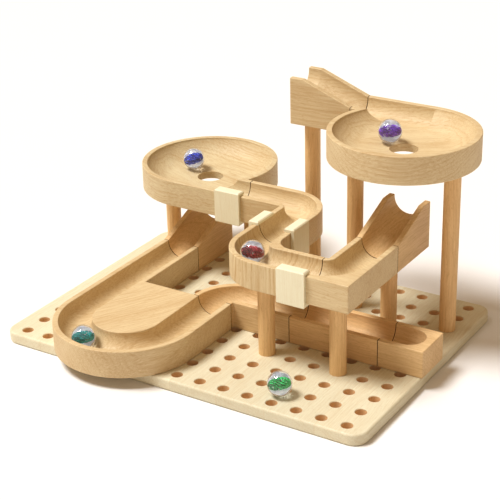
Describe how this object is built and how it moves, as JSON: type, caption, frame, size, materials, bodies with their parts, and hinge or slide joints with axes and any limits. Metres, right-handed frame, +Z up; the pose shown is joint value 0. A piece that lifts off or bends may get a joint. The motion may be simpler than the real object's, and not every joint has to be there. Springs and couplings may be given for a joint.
{
  "type": "marble run",
  "caption": "Wooden marble run on a peg board: ramps, two bowls, link curves and a ground track on round posts, held by small clips, with glass marbles.",
  "frame": {"origin": "middle of the board's underside, on the axis of the middle peg hole", "axes": "+X along the board's long side to the right, +Y to the back, +Z up"},
  "size_m": [0.275, 0.254, 0.1575],
  "materials": {
    "board_wood": "fine sanded, pale",
    "post_wood": "fine sanded dowel",
    "track_wood": "fine sanded beech",
    "clip_wood": "fine sanded, pale",
    "glass_blue": "clear with a coloured ribbon",
    "glass_purple": "clear with a coloured ribbon",
    "glass_red": "clear with a coloured ribbon",
    "glass_teal": "clear with a coloured ribbon",
    "glass_green": "clear with a coloured ribbon"
  },
  "bodies": {
    "frame": {"base_board": "board_wood", "post_launch_ramp": "post_wood", "post_upper_bowl_left": "post_wood", "post_upper_bowl_right": "post_wood", "post_lower_bowl_left": "post_wood", "post_lower_bowl_right": "post_wood", "post_upper_ramp": "post_wood", "post_corner": "post_wood", "post_link": "post_wood"},
    "middle_run": {"lower_bowl": "track_wood", "first_link_curve": "track_wood", "second_link_curve": "track_wood", "corner_track": "track_wood"},
    "upper_bowl": {"upper_bowl": "track_wood"},
    "launch_ramp": {"launch_ramp": "track_wood"},
    "upper_ramp": {"upper_ramp": "track_wood"},
    "lower_ramp": {"lower_ramp": "track_wood"},
    "u_turn_track": {"u_turn_track": "track_wood"},
    "ground_curve": {"ground_curve": "track_wood"},
    "ground_straight": {"ground_straight": "track_wood"},
    "end_block": {"end_block": "track_wood"},
    "clip_bowl": {"clip_bowl": "clip_wood"},
    "clip_corner": {"clip_corner": "clip_wood"},
    "clip_link_left": {"clip_link_left": "clip_wood"},
    "clip_link_right": {"clip_link_right": "clip_wood"},
    "marble_blue": {"marble_blue": "glass_blue"},
    "marble_purple": {"marble_purple": "glass_purple"},
    "marble_red": {"marble_red": "glass_red"},
    "marble_teal": {"marble_teal": "glass_teal"},
    "marble_green": {"marble_green": "glass_green"}
  },
  "joints": [
    {"name": "middle_run_lift", "type": "slide", "parent": "frame", "child": "middle_run", "axis": [0, 0, 1], "range_m": [0, 0.015]},
    {"name": "upper_bowl_lift", "type": "slide", "parent": "frame", "child": "upper_bowl", "axis": [0, 0, 1], "range_m": [0, 0.04]},
    {"name": "launch_ramp_lift", "type": "slide", "parent": "frame", "child": "launch_ramp", "axis": [0, 0, 1], "range_m": [0, 0.04]},
    {"name": "upper_ramp_lift", "type": "slide", "parent": "frame", "child": "upper_ramp", "axis": [0, 0, 1], "range_m": [0, 0.025]},
    {"name": "lower_ramp_lift", "type": "slide", "parent": "frame", "child": "lower_ramp", "axis": [0, 0, 1], "range_m": [0, 0.012]},
    {"name": "u_turn_track_lift", "type": "slide", "parent": "frame", "child": "u_turn_track", "axis": [0, 0, 1], "range_m": [0, 0.025]},
    {"name": "ground_curve_lift", "type": "slide", "parent": "frame", "child": "ground_curve", "axis": [0, 0, 1], "range_m": [0, 0.02]},
    {"name": "ground_straight_lift", "type": "slide", "parent": "frame", "child": "ground_straight", "axis": [0, 0, 1], "range_m": [0, 0.02]},
    {"name": "end_block_lift", "type": "slide", "parent": "frame", "child": "end_block", "axis": [0, 0, 1], "range_m": [0, 0.04]},
    {"name": "clip_bowl_slide", "type": "slide", "parent": "middle_run", "child": "clip_bowl", "axis": [1, 0, 0], "range_m": [-0.03, 0.03]},
    {"name": "clip_corner_slide", "type": "slide", "parent": "middle_run", "child": "clip_corner", "axis": [1, 0, 0], "range_m": [-0.015, 0.025]},
    {"name": "clip_link_left_slide", "type": "slide", "parent": "middle_run", "child": "clip_link_left", "axis": [0, 1, 0], "range_m": [-0.016, 0.012]},
    {"name": "clip_link_right_slide", "type": "slide", "parent": "middle_run", "child": "clip_link_right", "axis": [0, 1, 0], "range_m": [-0.008, 0.012]},
    {"name": "marble_blue_roll", "type": "hinge", "parent": "middle_run", "child": "marble_blue", "pos_m": [-0.0875, 0.0875, 0.0595], "axis": [0, 0, 1], "continuous": true},
    {"name": "marble_purple_roll", "type": "hinge", "parent": "upper_bowl", "child": "marble_purple", "pos_m": [0.0875, 0.0525, 0.1245], "axis": [0, 0, 1], "continuous": true},
    {"name": "marble_red_roll", "type": "hinge", "parent": "middle_run", "child": "marble_red", "pos_m": [0.035, -0.0175, 0.0595], "axis": [0, 0, 1], "range_deg": [-38, 46]},
    {"name": "marble_teal_roll", "type": "hinge", "parent": "u_turn_track", "child": "marble_teal", "pos_m": [-0.0525, -0.0665, 0.0081], "axis": [0, 0, 1], "range_deg": [-65, 105]},
    {"name": "marble_green_roll", "type": "slide", "parent": "frame", "child": "marble_green", "axis": [1, 0, 0], "range_m": [-0.06, 0.055]}
  ]
}
